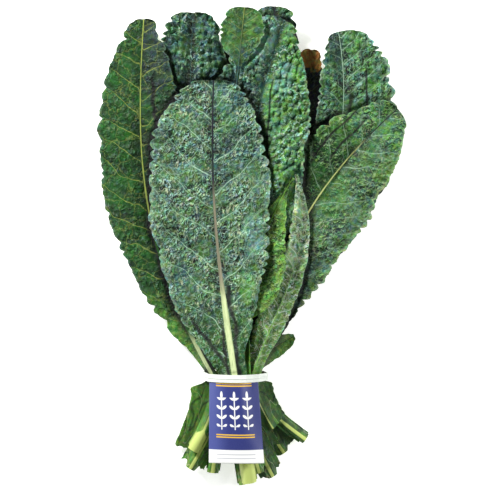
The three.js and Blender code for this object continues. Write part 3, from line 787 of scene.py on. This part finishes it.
    def shade_and_tone_patches(self):
        """Oval patches of other tones, painted shade where their colour is gap or shaded, then a tint that
        strays everywhere.
        """
        for aside, at, reach, key, amount in self.look["shade_and_tone_patches"]:
            x = (self.offset - aside) / reach
            y = (self.along - at * self.length) / (2 * reach)
            far = x * x + y * y + self.wander.ramp(0.3, 0.7, -0.5, 0.5)
            self.paint(far.ramp(1.2, 0.1, 0.0, amount), key)
        tint = self.noise(self.seat, 240.0, 4.0, 0.6, "Color")
        tint = self.vectors("MULTIPLY_ADD", {0: tint, 1: TINT, 2: tuple(1 - k / 2 for k in TINT)})
        self.colour = self.blend(1.0, self.colour, tint, "MULTIPLY")

    def marks(self):
        """Side veins, dry spots and short cream flecks."""
        self.paint(self.veins * self.look["veins"], self.look["vein"])
        self.paint(self.patches(420.0, 0.74, 0.8, detail=1.0) * 0.6, "spot")
        flecks = self.worms(self.stretched(0.4, 9.0), 260.0, 0.03) * self.patches(85.0, 0.54, 0.64)
        self.paint(flecks * self.look["flecks"], "cream")

    def fold_shades(self):
        # Painted shade along folds: dark bands in the gap colour, which wander a little.
        for first, last, reach, start, end in self.look["fold_shades"]:
            middle = self.place.ramp(start, end, first, last)
            middle = middle + self.wander.ramp(0.3, 0.7, -reach, reach)
            fold = abs(self.offset - middle).ramp(reach * 1.3, reach * 0.2)
            fold = fold * self.place.ramp(start - 0.05, start + 0.05)
            fold = fold * self.place.ramp(end + 0.03, end - 0.03)
            self.paint(fold * FOLD_SHADE_DARKNESS, "gap")

    def midrib(self):
        """Pale and smooth near the stalk, then greyer, then dark. Gives back where it lies."""
        look, along, below = self.look, self.along, self.colour
        stem = along.ramp(-0.048, -0.056, 0.22, look["stem"]) * along.ramp(0.004, -0.004)
        rib = self.place.ramp(0.1, 0.45, look["midrib"], 0.75 * look["midrib"])
        width = stem + along.ramp(-0.004, 0.004) * rib
        width = width * abs(along).ramp(0.0, 0.06, 0.66, 1.0)
        on_rib = (self.ratio / width).ramp(1.15, 0.75)
        grey, dark = (self.length * share for share in look["rib"])
        self.colour = self.hue(look["rib_low"])
        self.paint(along.ramp(grey * 0.8, grey * 1.2), look["rib_mid"])
        self.paint(along.ramp(dark * 0.9, dark * 1.1), look["rib_top"])
        streaks = self.noise(self.stretched(0.08), 1400.0, 3.0)
        self.paint(streaks.ramp(0.45, 0.75, 0.0, 0.45), "smooth")
        self.paint(along.ramp(-0.01, -0.05), "rib_cut")
        self.colour = self.blend(on_rib, below, self.colour)
        return on_rib

    def wilt(self):
        """The withered tip, brown with painted shade in its hollows, and a ragged edge to it."""
        below, start = self.colour, self.length - WILT_REACH
        ragged = self.along + self.patches(120.0, 0.35, 0.65, -0.003, 0.003)
        wilted = ragged.ramp(start, start + 0.0025)
        self.colour = self.hue("wilt")
        self.paint(self.patches(260.0, 0.45, 0.6, detail=3.0), "spot")
        self.paint(self.relief.ramp(0.5, 0.1, 0.0, 0.45), "deep")
        self.colour = self.blend(wilted * 0.85, below, self.colour)

    def skin(self):
        """The finished material."""
        self.greens()
        self.stalk_sides()
        self.bloom()
        self.shade_and_tone_patches()
        self.marks()
        self.fold_shades()
        self.paint(self.under, "olive")
        on_rib = self.midrib()
        self.paint(self.shade * (1.0 - self.greater(self.stalk, on_rib) * 0.6), "gap")
        if self.look["wilt"]:
            self.wilt()
        bumps = (self.height - self.veins * 0.5) * (1.0 - on_rib) * self.calm
        roughness = self.height.ramp(0.2, 1.0, 0.62, 0.46)
        depth = self.look["pebble"] * self.sizes.pebble_depth
        return self.finish(self.colour, roughness, bumps, depth, Specular_IOR_Level=0.22)


# The card's print, in metres: heights over its foot, and distances off its middle line.
RULES = (0.0685, 0.0665, 0.0245, 0.0225)
RULE_REACH = 0.0185
SPRIG_PITCH = 0.013  # distance between the sprigs
LEAFLET_PITCH = 0.008  # and between the pairs of leaflets on each
FOOT_TOP = 0.0115
FOOT_LINES = (0.0075, 0.0042)
FOOT_REACH = 0.018


def card_material(colours):
    """Printed card: a blue field with three pale sprigs in a row, fine rules over and under them, and a pale
    foot."""
    tree = Tree("card_print")
    across, up, front = tree.noted("card_place")
    paper, blue, gold = tuple(colours.card_paper), tuple(colours.card_blue), tuple(colours.card_gold)
    fibre = tree.noise(tree.vector(across, up), 900.0, 3.0)
    sheen = across.ramp(-0.022, -0.004, 0.5, 0.0) + fibre * 0.25
    inked = tree.blend(sheen, blue, tuple(colours.card_sheen))

    def within(x, middle, half):
        return abs(x - middle).ramp(half + 0.0002, half - 0.0002)

    def oval(dx, dy, wide, tall, turn=0.0):
        """1 inside an oval, from the distances to its middle."""
        c, s = cos(turn), sin(turn)
        u = dx * (c / wide) + dy * (s / wide)
        v = dy * (c / tall) - dx * (s / tall)
        return (u * u + v * v).ramp(1.1, 0.85)

    for middle in RULES:
        inked = tree.blend(within(up, middle, 0.0005) * within(across, 0.0, RULE_REACH), inked, gold)
    side = abs(tree.maths("WRAP", across, SPRIG_PITCH / 2, -SPRIG_PITCH / 2))
    pair = tree.maths("WRAP", up, LEAFLET_PITCH / 2, -LEAFLET_PITCH / 2)
    leaflets = oval(side - 0.0027, pair, 0.0028, 0.0012, 0.6) * within(up, 0.044, 0.0125)
    stem = within(side, 0.0, 0.0005) * within(up, 0.0425, 0.0135)
    top = oval(side, up - 0.0585, 0.0013, 0.0034)
    sprigs = tree.greater(tree.greater(leaflets, stem), top) * within(across, 0.0, 1.5 * SPRIG_PITCH)
    inked = tree.blend(sprigs, inked, paper)
    inked = tree.blend(up.ramp(FOOT_TOP + 0.0002, FOOT_TOP - 0.0002), inked, paper)
    for middle in FOOT_LINES:
        line = within(up, middle, 0.0004) * within(across, 0.0, FOOT_REACH)
        inked = tree.blend(line * 0.45, inked, blue)
    inked = tree.blend(front, paper, inked)
    return tree.finish(inked, fibre.ramp(0.3, 0.7, 0.36, 0.46), fibre, 0.00004,
                       Specular_IOR_Level=0.35)


def tie_material(colours, middle):
    """White paper ribbon with the faint ridge of the wire down its middle."""
    tree = Tree("tie_ribbon")
    x, y, z = tree.parts(tree.whereabouts())
    wire = abs(y - middle).ramp(0.0009, 0.0002)
    crease = tree.noise(tree.vector(x * 0.6, y, z), 700.0, 3.0)
    colour = tree.blend(crease * 0.3, tuple(colours.tie_white), tuple(colours.tie_crease))
    return tree.finish(colour, crease.ramp(0.3, 0.7, 0.4, 0.55), wire + crease * 0.35, 0.0004,
                       Specular_IOR_Level=0.5)


def table_material(colours):
    """Matt white table with a very faint mottle. It also glows a little: painted light that keeps the
    shadows on it pale.
    """
    tree = Tree("table_matt")
    mottle = tree.noise(tree.whereabouts(), 9.0, 3.0)
    white = tuple(colours.table)
    colour = tree.blend(mottle * 0.2, white, tuple(c * 0.97 for c in white))
    return tree.finish(colour, 0.9, mottle, 0.0001, Specular_IOR_Level=0.1, Emission_Color=white,
                       Emission_Strength=0.6)


# ---------- Settings ----------

# Colours that lie in clouds over each other in two shades, and their use.
CLOUDED = {
    "bloom": ("46695a", "486b3c", "Upper face with its blue-white bloom"),
    "fresh": ("4f8739", "447258", "Bright green upper face"),
    "frost": ("74a496", "6f9c80", "Palest bloom"),
    "moss": ("284f2a", "36602a", "Upper face near the stalk"),
    "sage": ("6f9a48", "5f8846", "Crinkled underside"),
    "lively": ("649e44", "4f8560", "Brightest green upper face"),
    "blue": ("3a6260", "3f6c3e", "Blue-green upper face"),
    # shaded is painted shade: the upper face where a leaf lies under others or tilts away from the light.
    "shaded": ("243a36", "2a4527", "Darkest upper face"),
    "gloom": ("3a3350", "45435a", "Leaf deep in the shade"),
    "smooth": ("22581a", "224a1e", "Smooth dark green upper face"),
    "flap": ("4c7a2c", "78a348", "Leafy sides of the stalks"),
    "dusk": ("36562a", "58823c", "Leafy sides of the stalks in the shade"),
    "green": ("3f6d2e", "4c7a3c", "Folded-over tip"),
    "ash": ("9dc28e", "7fa070", "Palest underside"),
    "lime": ("6fa03c", "4f8a3a", "Young yellow-green leaf"),
    "yellow": ("5f8c2c", "3f7028", "Yellow-green patches and the small leaf"),
}
# Colours in one shade.
PLAIN = {
    "olive": ("93b05f", "Pale underside"),
    "vein_white": ("c4d6c0", "Palest veins, on the crinkled underside"),
    "cream": ("cdd8ac", "Short pale flecks"),
    # light and light_green are the crests' colours: pale bloom with a painted highlight on the lit flank of
    # each bump. vein_white is also the underside's crest colour.
    "light": ("a8ceb5", "Bloom on top of the blisters"),
    "light_green": ("9cc583", "Crests of the greener leaves"),
    # deep is painted shade: in the valleys between the blisters, the fine hollows, the shaded flank of each
    # bump, creases, above each side vein and in the withered tip's hollows. It also darkens the top of one
    # midrib.
    "deep": ("0e1613", "Valleys between the blisters"),
    "gap": ("120d14", "Shade between leaves"),
    "vein": ("93a04c", "Yellow-green side veins"),
    "vein_pale": ("a6c8aa", "Blue-white side veins"),
    "vein_bright": ("eef5a0", "Yellow midrib of the right-hand leaf"),
    "rib_pale": ("c3d19a", "Midrib near the stalk"),
    "rib_cut": ("bfce72", "Midrib towards the cut end"),
    "rib_grey": ("87806c", "Midrib half-way up"),
    "rib_purple": ("1d1628", "Midrib towards the tip"),
    "wilt": ("b8783c", "Withered tip"),
    "spot": ("a5904a", "Small dry spots"),
    "card_blue": ("262d6b", "Printed field of the card"),
    "card_sheen": ("5660a0", "Where the card's field catches the light"),
    "card_paper": ("ebebe6", "Bare card"),
    "card_gold": ("e8b92c", "Fine lines on the card"),
    "tie_white": ("e4e9df", "Paper of the tie"),
    "tie_crease": ("ced7cb", "Creases in the tie's paper"),
    "table": ("f4f4f2", "Table top"),
}


def colour_property(key, code, use):
    return bpy.props.FloatVectorProperty(name=key.replace("_", " ").capitalize(), description=use,
                                         subtype="COLOR", size=3, min=0, max=1, default=linear(code))


def length_property(name, metres, description):
    return bpy.props.FloatProperty(name=name, description=description, default=metres, min=0,
                                   subtype="DISTANCE", unit="LENGTH", precision=5)


class KaleColours(bpy.types.PropertyGroup):
    """The colours, with a second shade for each clouded one."""
    __annotations__ = {
        **{key: colour_property(key, code, use) for key, (code, _, use) in CLOUDED.items()},
        **{key + "_2": colour_property(key + "_2", code, use + ", second shade")
           for key, (_, code, use) in CLOUDED.items()},
        **{key: colour_property(key, code, use) for key, (code, use) in PLAIN.items()},
    }


class KaleSizes(bpy.types.PropertyGroup):
    mesh_coarseness: bpy.props.FloatProperty(name="Mesh coarseness", default=1.0, min=0.8, max=4,
                                             description="Above 1, leaves have fewer and larger faces")
    blisters: bpy.props.FloatProperty(name="Blisters", default=1.0, min=0, max=2, subtype="FACTOR",
                                      description="Share of each leaf's own blister height")
    pebble_depth: bpy.props.FloatProperty(name="Pebble depth", default=0.3, min=0, max=1, subtype="FACTOR",
                                          description="Depth of the fine pebbling, as a share of its size")
    scallop: length_property("Scallop", 0.0028, "Depth of the small lobes along the margins")
    torn: length_property("Torn ends", 0.005, "How far short of the cut end the stalk's leafy sides are torn")
    torn_reach: length_property("Torn reach", 0.02, "Length of stalk over which the torn ends fade out")
    groove: length_property("Groove", 0.0009, "Depth of the grooves beside a midrib")
    vein_width: length_property("Vein width", 0.0011, "Width of a side vein beside the midrib")
    air: length_property("Air", 0.0002, "Least gap between two leaves")
    shade_reach: length_property("Shade reach", 0.0038, "How far the shade under an upper leaf reaches")


class KaleStudio(bpy.types.PropertyGroup):
    camera_height: length_property("Camera height", 1.54, "Height of the camera over the table")
    view_width: length_property("View width", 0.434, "Width seen by the camera at the leaves")
    leaf_height: length_property("Leaf height", 0.04, "Height at which the view width is measured")
    key_power: bpy.props.FloatProperty(name="Key light", default=32, min=0, unit="POWER",
                                       description="Power of the large soft light")
    fill: bpy.props.FloatProperty(name="Fill", default=0.42, min=0,
                                  description="Strength of the room's light")


# ---------- Operators ----------

BARE_REACH = 0.0022  # how far round an upper leaf the blisters of a lower one fade out
SHADE_DARKNESS = 0.92


def covers_of(forms):
    """For each leaf, two maps of what lies over it: the lowest height there, and whether it casts shade."""
    cover = np.full(MAP_SHAPE, np.inf)
    casting = np.zeros(MAP_SHAPE)
    for thing in ("tag", "tie"):
        low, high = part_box(thing)
        x, y = cells_of(np.array([low, high]))
        cover[x[0]:x[1] + 1, y[0]:y[1] + 1] = (low.z + high.z) / 2
        casting[x[0]:x[1] + 1, y[0]:y[1] + 1] = 1
    covers = []
    for form in reversed(forms):
        covers.append((cover.copy(), casting.copy()))
        own = -height_map(np.dstack([form["xy"], -form["lower"]]))
        cover = np.where(own < -EMPTY, np.minimum(cover, own), cover)
        if LEAVES[form["name"]]["casts"]:
            casting[own < -EMPTY] = 1
    return covers[::-1]


def shade_on(form, look, cover, casting, reach):
    """How dark each point of a leaf is in the shade of what lies over it."""
    cells = cells_of(form["xy"])
    covered = np.isfinite(cover).astype(float)
    height = blurred(np.where(np.isfinite(cover), cover, 0), reach)
    height /= np.maximum(blurred(covered, reach), 1e-6)
    step = smoothstep(-0.002, 0.006, height[cells] - form["upper"])
    return SHADE_DARKNESS * look["shade"] * np.clip(blurred(casting, reach)[cells] * 2.3, 0, 1) * step


def dress_leaves(colours, sizes):
    forms = [leaf_form(name, look, sizes) for name, look in LEAVES.items()]
    pile = np.full(MAP_SHAPE, EMPTY)
    for form, (cover, casting) in zip(forms, covers_of(forms)):
        name = form["name"]
        look = LEAVES[name]
        covered = blurred(np.isfinite(cover).astype(float), BARE_REACH)[cells_of(form["xy"])]
        bare = 1 - smoothstep(0.06, 0.4, covered)
        relief = leaf_relief(form, look, sizes)
        rise = relief * bare
        upper = form["upper"] + rise + form["crown"] * bare
        upper, lower = lay(form, upper, form["lower"] + rise * (form["share"] > 0), pile, sizes.air)
        piece = shell(name + "_fine", np.dstack([form["xy"], upper]), np.dstack([form["xy"], lower]))

        tall = look["blister"] * (0.9 + look["bulge"])
        shade = shade_on(form, look, cover, casting, sizes.shade_reach)
        none = 0 * shade
        for attribute, values, below in (
            ("leaf_place", (form["along"], form["offset"], form["ratio"]), 0),
            ("leaf_state", (shade, relief / tall, none), 1),
            ("leaf_edge", (form["share"], form["k"], none), 0),
        ):
            top = np.stack(values, axis=-1)
            note(piece, attribute, np.concatenate([top, top + np.array([0, 0, below])]))
        length = float(form["along"].max())
        piece.data.materials.append(LeafSkin(name, look, colours, sizes, length).skin())
        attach(piece, "root")
        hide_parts(name)


class KALE_OT_leaves(bpy.types.Operator):
    """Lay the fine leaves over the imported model's leaves"""
    bl_idname = "kale.leaves"
    bl_label = "Leaves"

    def execute(self, context):
        dress_leaves(context.scene.kale_colours, context.scene.kale_sizes)
        return {"FINISHED"}


CARD_FINENESS = 6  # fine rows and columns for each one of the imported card


class KALE_OT_card(bpy.types.Operator):
    """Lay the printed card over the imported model's tag"""
    bl_idname = "kale.card"
    bl_label = "Card"

    def execute(self, context):
        plan, high, low = sheet_of(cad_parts["tag"], CARD_ROWS, CARD_COLUMNS)
        rows = np.linspace(0, CARD_ROWS - 1, CARD_FINENESS * (CARD_ROWS - 1) + 1)
        columns = np.linspace(0, CARD_COLUMNS - 1, CARD_FINENESS * (CARD_COLUMNS - 1) + 1)

        def fine(values):
            return np.swapaxes(along_rows(np.swapaxes(along_rows(values, rows), 0, 1), columns), 0, 1)

        xy = fine(plan)
        piece = shell("card_print", np.dstack([xy, fine(high)]), np.dstack([xy, fine(low)]), False)
        sheet = np.dstack([plan, high])
        wide = np.linalg.norm(np.diff(sheet, axis=1), axis=2).sum(axis=1).max()
        tall = np.linalg.norm(np.diff(sheet[:, CARD_COLUMNS // 2], axis=0), axis=1).sum()
        across = np.linspace(-wide / 2, wide / 2, len(columns))[None, :] + 0 * rows[:, None]
        up = np.linspace(0, tall, len(rows))[:, None] + 0 * columns[None, :]
        front = np.stack([across, up, 0 * up + 1], axis=-1)
        note(piece, "card_place", np.concatenate([front, front * np.array([1, 1, 0])]))
        piece.data.materials.append(card_material(context.scene.kale_colours))
        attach(piece, "root")
        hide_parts("tag")
        return {"FINISHED"}


class KALE_OT_tie(bpy.types.Operator):
    """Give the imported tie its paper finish"""
    bl_idname = "kale.tie"
    bl_label = "Tie"

    def execute(self, context):
        _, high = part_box("tie")
        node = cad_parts["tie"]
        node.data.materials.clear()
        node.data.materials.append(tie_material(context.scene.kale_colours, high.y - TIE_WIDTH / 2))
        return {"FINISHED"}


# Where the camera looks: the middle of its view, from the middle of the tie's upper edge.
AIM_FROM_TIE = (0.0131, 0.1069)
SENSOR = 36.0  # millimetres, as Blender has it
TABLE_HALF = 3
TABLE_DROP = 0.0005  # how far the table lies under the lowest leaves
# A large soft light above the top left, and a weaker one from the right: name, place, size, share of the
# key light's power.
LIGHTS = (
    ("key_light", (-0.8, 0.95, 0.95), 0.4, 1.0),
    ("side_light", (1.1, 0.1, 0.9), 0.7, 0.3),
)
ROOM_COLOUR = (0.93, 0.96, 1, 1)


class KALE_OT_stage(bpy.types.Operator):
    """Make the table, the lights and the camera"""
    bl_idname = "kale.stage"
    bl_label = "Stage"

    def execute(self, context):
        scene = context.scene
        studio = scene.kale_studio
        self.make_table(scene)

        low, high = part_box("tie")
        camera = bpy.data.cameras.new("camera")
        camera.sensor_width = SENSOR
        camera.lens = SENSOR * (studio.camera_height - studio.leaf_height) / studio.view_width
        camera.clip_end = 20
        scene.camera = placed("camera", camera)
        x, y = (low.x + high.x) / 2 + AIM_FROM_TIE[0], high.y + AIM_FROM_TIE[1]
        scene.camera.location = (x, y, studio.camera_height)

        for name, place, size, share in LIGHTS:
            lamp = bpy.data.lights.new(name, "AREA")
            lamp.shape = "DISK"
            lamp.size = size
            lamp.energy = studio.key_power * share
            light = placed(name, lamp)
            light.location = place
            across = (place[0] ** 2 + place[1] ** 2) ** 0.5
            light.rotation_euler = (atan2(across, place[2]), 0, atan2(place[1], place[0]) + pi / 2)

        scene.world = bpy.data.worlds.new("room")
        scene.world.use_nodes = True
        room = scene.world.node_tree.nodes["Background"].inputs
        room["Color"].default_value = ROOM_COLOUR
        room["Strength"].default_value = studio.fill
        scene.view_settings.view_transform = "Standard"
        return {"FINISHED"}

    def make_table(self, scene):
        bm = bmesh.new()
        bmesh.ops.create_grid(bm, x_segments=2, y_segments=2, size=TABLE_HALF)
        bmesh.ops.translate(bm, vec=(0, 0, -TABLE_DROP), verts=bm.verts)
        table = placed("table", mesh_of("table", bm))
        table.data.materials.append(table_material(scene.kale_colours))


class KALE_PT_panel(bpy.types.Panel):
    """The bunch's pieces, sizes and colours"""
    bl_label = "Lacinato kale"
    bl_idname = "KALE_PT_panel"
    bl_space_type = "VIEW_3D"
    bl_region_type = "UI"
    bl_category = "Kale"

    def draw(self, context):
        for operator in OPERATORS:
            self.layout.operator(operator.bl_idname)
        for group in (context.scene.kale_sizes, context.scene.kale_studio, context.scene.kale_colours):
            box = self.layout.box()
            for name in group.__annotations__:
                box.prop(group, name)


OPERATORS = (KALE_OT_leaves, KALE_OT_card, KALE_OT_tie, KALE_OT_stage)
GROUPS = {"kale_colours": KaleColours, "kale_sizes": KaleSizes, "kale_studio": KaleStudio}


def register():
    for group in (*GROUPS.values(), *OPERATORS, KALE_PT_panel):
        bpy.utils.register_class(group)
    for name, group in GROUPS.items():
        setattr(bpy.types.Scene, name, bpy.props.PointerProperty(type=group))


def unregister():
    for name in GROUPS:
        delattr(bpy.types.Scene, name)
    for group in reversed((*GROUPS.values(), *OPERATORS, KALE_PT_panel)):
        bpy.utils.unregister_class(group)


def main():
    register()
    bpy.ops.kale.leaves()
    bpy.ops.kale.card()
    bpy.ops.kale.tie()
    bpy.ops.kale.stage()


if __name__ == "__main__":
    main()
